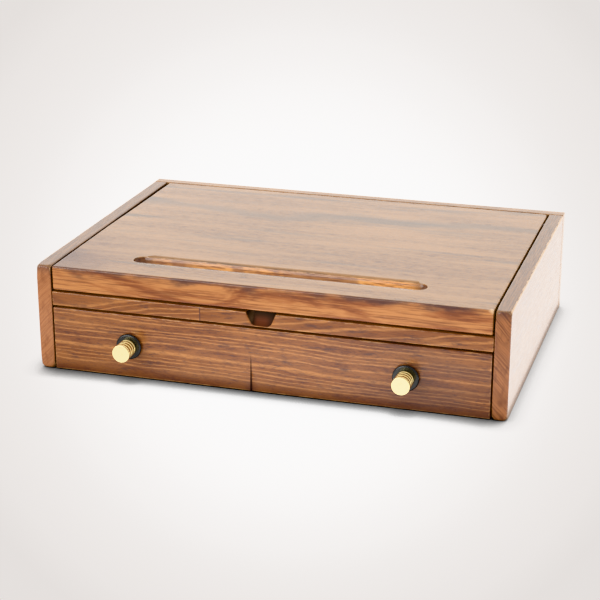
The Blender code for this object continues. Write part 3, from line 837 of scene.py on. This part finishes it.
def make_rail():
    pine = wood(
        "stained_pine_rail",
        "front_rail",
        pith=(0, -40),
        ring=4.5,
        lean=-0.1,
        seed=5,
        line=0.75,
        blotch=0.8,
        wear=0.3,
        seam=-52,
        details=rail_details,
    )
    worn_board("front_rail", pine, seed=2)


def make_drawer_front():
    pine = wood(
        "stained_pine_drawer_front",
        "drawer_front",
        pith=(-60, -140),
        ring=4.2,
        lean=0.01,
        wave=2,
        seed=9,
        line=0.8,
        fibre=1.0,
        blotch=0.75,
        wear=0.35,
        fibre_size=(7, 0.7),
        # Painted shade on the drawer front's ends, in the gaps beside the side panels.
        shaded_faces=("x-", "x+"),
        details=drawer_details,
    )
    front = worn_board("drawer_front", pine, worn=1.3 * MM, seed=3)
    crack = crack_cutter()
    carve(front, [crack])
    bpy.data.objects.remove(crack)


def make_side_panel(side):
    node = f"side_panel_{side}"
    pine = wood(
        f"stained_pine_{side}",
        node,
        "Y",
        pith={"left": (-120, -60), "right": (60, -90)}[side],
        ring=4,
        seed=13,
        wave=2,
        mid=SIDE_TOP,
        dark=SIDE_TOP_DARK,
        light=LID_MID,
        worn=SIDE_RUBBED,
        # Painted shade on the inner face, in the gap beside the lid and the drawer.
        shaded_faces={"left": ("x+",), "right": ("x-",)}[side],
        relief=0,
        details=side_details(side),
    )
    worn_board(node, pine, worn=1.7 * MM, corner=CORNER_WEAR, seed=5)


def make_back_panel():
    tan = dict(mid=LID_MID, dark=LID_DARK, light=LID_LIGHT, stain=LID_DARK, worn=SIDE_RUBBED)
    pine = wood("stained_pine_back", "back_panel", pith=(60, 200), ring=6, wear=0.3, seed=17, **tan)
    worn_board("back_panel", pine, seed=7)


def make_drawer_boards():
    for side in SIDES:
        node = f"drawer_side_{side}"
        pine = wood(f"stained_pine_{node}", node, "Y", pith=(0, -90), ring=5, seed=21)
        worn_board(node, pine, seed=9)
    pine = wood("stained_pine_drawer_back", "drawer_back", pith=(0, -90), ring=5, seed=25)
    worn_board("drawer_back", pine, seed=11)


def make_boards():
    make_lid()
    make_rail()
    make_drawer_front()
    for side in SIDES:
        make_side_panel(side)
    make_back_panel()
    make_drawer_boards()


def make_hardware():
    bright, black, gold = steel(), rubber(), brass()
    for side in SIDES:
        low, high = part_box(f"knob_{side}")
        turned_piece(f"knob_{side}", knob_profile((high.x - low.x) / 2, high.y - low.y), gold)
        low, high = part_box(f"knob_washer_{side}")
        turned_piece(f"knob_washer_{side}", washer_profile((high.x - low.x) / 2, high.y - low.y), black)
    for node in frame["nodes"]:
        if any(word in node for word in ("screw", "brad", "pin")):
            set_material(node, bright)


def dress_hidden_nodes():
    birch = dict(mid=BIRCH_MID, dark=BIRCH_DARK, light=BIRCH_LIGHT, stain=BIRCH_DARK, worn=BIRCH_LIGHT)
    for node in ("compartment_floor", "bottom_panel", "drawer_bottom"):
        set_material(node, wood(f"birch_{node}", node, pith=(0, -400), ring=3, blotch=0.2, wear=0.3, **birch))
    dowel = wood("beech_dowel", "rail_dowel_left", pith=(0, 0), ring=2, blotch=0.2, wear=0.3, **birch)
    wool = felt()
    for node in frame["nodes"]:
        if "dowel" in node:
            set_material(node, dowel)
        elif "pad" in node:
            felt_pad(node, wool)


def link(name, data):
    obj = bpy.data.objects.new(name, data)
    bpy.context.scene.collection.objects.link(obj)
    return obj


def link_mesh(name, bm):
    """Makes an object of a bmesh, and frees the bmesh."""
    mesh = bpy.data.meshes.new(name)
    bm.to_mesh(mesh)
    bm.free()
    return link(name, mesh)


def floor_glow(n, away):
    """The floor's brightness, by distance from the middle of the photograph's view."""
    glow = n.add("FloatCurve", {"Value": n.math("MULTIPLY", away, FLOOR_GLOW_SCALE, clamp=True)})
    curve = glow.mapping.curves[0]
    curve.points[0].location, curve.points[1].location = FLOOR_GLOW[0], FLOOR_GLOW[-1]
    for point in FLOOR_GLOW[1:-1]:
        curve.points.new(*point)
    glow.mapping.update()
    return glow.outputs[0]


def floor_material():
    """A pale glowing floor, painted brightest round the object and darker away from it, with a painted soft
    shadow under and round the object.
    """
    n = Nodes("pale_floor")
    x, y, _ = n.split(n.add("TexCoord").outputs["Object"])
    # The floor's origin is where the line of sight meets it, and its y axis points away from the camera.
    beyond = n.math("MULTIPLY_ADD", y, math.cos(ELEVATION), DISTANCE)
    up = n.math("MULTIPLY", n.math("DIVIDE", y, beyond), math.sin(ELEVATION))
    away = n.length(n.join(n.math("DIVIDE", x, beyond), up, 0.0))
    # The soft shadow looks outwards at the sides, so it is narrower beside the object than in front of it.
    side = n.split(n.add("NewGeometry").outputs["Position"])[0]
    lean = n.ease(side, -SHADE_LEAN_WIDTH, SHADE_LEAN_WIDTH, -SHADE_LEAN, SHADE_LEAN)
    normal = n.vector("NORMALIZE", n.join(lean, SHADE_FORWARD, 1.0))
    shade = n.add("AmbientOcclusion", {"Distance": SHADE_REACH, "Normal": normal}, samples=16).outputs["AO"]
    bright = n.math("MULTIPLY", floor_glow(n, away), FLOOR_BRIGHTNESS)
    light = n.math("MULTIPLY", bright, n.math("POWER", shade, SHADE_POWER))
    tint = n.mix(n.ease(away, 0.05, 0.25), FLOOR_NEAR, FLOOR_FAR)
    glowing = n.add("Emission", {"Color": tint, "Strength": light})
    n.tree.links.new(glowing.outputs[0], n.tree.nodes["Material Output"].inputs["Surface"])
    return n.material


def make_floor():
    bm = bmesh.new()
    bmesh.ops.create_grid(bm, x_segments=1, y_segments=1, size=FLOOR_SIZE)
    floor = link_mesh("floor", bm)
    floor.rotation_euler = (0, 0, AZIMUTH)
    beyond = AIM.z / math.tan(ELEVATION)
    floor.location = (AIM.x - math.sin(AZIMUTH) * beyond, AIM.y + math.cos(AZIMUTH) * beyond, -FLOOR_DROP)
    floor.data.materials.append(floor_material())


def make_camera():
    level = math.cos(ELEVATION)
    back = Vector((math.sin(AZIMUTH) * level, -math.cos(AZIMUTH) * level, math.sin(ELEVATION)))
    camera = link("camera", bpy.data.cameras.new("camera"))
    camera.data.lens = LENS
    camera.data.sensor_width = SENSOR
    camera.location = AIM + back * DISTANCE
    camera.rotation_euler = back.to_track_quat("Z", "Y").to_euler()
    bpy.context.scene.camera = camera


def make_light(name, place, towards, size, power):
    lamp = bpy.data.lights.new(name, "AREA")
    lamp.shape = "RECTANGLE"
    lamp.size, lamp.size_y = size
    lamp.energy = power
    obj = link(name, lamp)
    obj.location = place
    obj.rotation_euler = (Vector(place) - Vector(towards)).to_track_quat("Z", "Y").to_euler()
    obj.visible_camera = False


def make_world():
    world = bpy.data.worlds.new("studio")
    bpy.context.scene.world = world
    world.use_nodes = True
    tree = world.node_tree
    around = tree.nodes.new("ShaderNodeTexCoord")
    split = tree.nodes.new("ShaderNodeSeparateXYZ")
    level = tree.nodes.new("ShaderNodeMath")
    level.operation = "MULTIPLY_ADD"
    level.inputs[1].default_value = WORLD_LEVEL_PER_Y
    level.inputs[2].default_value = WORLD_LEVEL
    background = tree.nodes["Background"]
    tree.links.new(around.outputs["Generated"], split.inputs[0])
    tree.links.new(split.outputs["Y"], level.inputs[0])
    tree.links.new(level.outputs[0], background.inputs["Strength"])
    background.inputs["Color"].default_value = (1, 1, 1, 1)


make_camera()
make_world()
for name, settings in LIGHTS.items():
    make_light(name, *settings)
bpy.context.scene.view_settings.view_transform = "Khronos PBR Neutral"
make_floor()
make_boards()
make_hardware()
dress_hidden_nodes()
